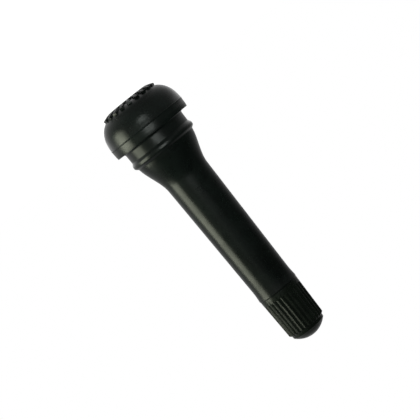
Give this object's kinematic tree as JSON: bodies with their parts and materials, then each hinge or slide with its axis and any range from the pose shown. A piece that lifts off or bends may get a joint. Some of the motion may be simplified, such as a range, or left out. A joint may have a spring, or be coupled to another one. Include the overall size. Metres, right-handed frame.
{
  "type": "tyre valve",
  "caption": "Long snap-in tubeless tyre valve: black rubber head, sealing neck and stem over a brass tube, with a screw-in spring core and a ribbed screw cap.",
  "frame": {"origin": "on the valve's axis, in the plane of the raised ring on the head's face that it stands on", "axes": "+Z along the valve's axis from the head to the cap, X and Y across it"},
  "size_m": [0.0194, 0.0194, 0.0652],
  "materials": {
    "body_rubber": "moulded satin black rubber",
    "brass": "turned brass",
    "seal_rubber": "smooth black seal rubber",
    "spring_steel": "drawn spring wire",
    "cap_plastic": "moulded satin black plastic"
  },
  "bodies": {
    "stem": {"rubber_body": "body_rubber", "brass_stem": "brass"},
    "core": {"core_barrel": "brass", "barrel_gasket": "seal_rubber", "core_spring": "spring_steel"},
    "plug": {"core_plug": "brass"},
    "pin": {"core_pin": "brass", "pin_cup": "brass", "pin_gasket": "seal_rubber"},
    "cap_seal": {"cap_gasket": "seal_rubber"},
    "cap": {"valve_cap": "cap_plastic"}
  },
  "joints": [
    {"name": "cap_lift", "type": "slide", "parent": "stem", "child": "cap_seal", "axis": [0, 0, 1], "range_m": [0, 0.00794]},
    {"name": "cap_turn", "type": "hinge", "parent": "cap_seal", "child": "cap", "pos_m": [0, 0, 0.0575], "axis": [0, 0, 1], "range_deg": [0, 3601]},
    {"name": "core_lift", "type": "slide", "parent": "stem", "child": "core", "axis": [0, 0, 1], "range_m": [0, 0.00212]},
    {"name": "core_turn", "type": "hinge", "parent": "core", "child": "plug", "pos_m": [0, 0, 0.0565], "axis": [0, 0, 1], "range_deg": [0, 1081]},
    {"name": "pin_press", "type": "slide", "parent": "core", "child": "pin", "axis": [0, 0, -1], "range_m": [0, 0.0012], "stiffness_N_per_m": 600, "springref_m": -0.002, "deforming": ["core_spring"]}
  ],
  "couplings": [
    {"joint": "cap_turn", "follows": "cap_lift", "rad_per_m": 7915.8},
    {"joint": "core_turn", "follows": "core_lift", "rad_per_m": 8905.3}
  ]
}
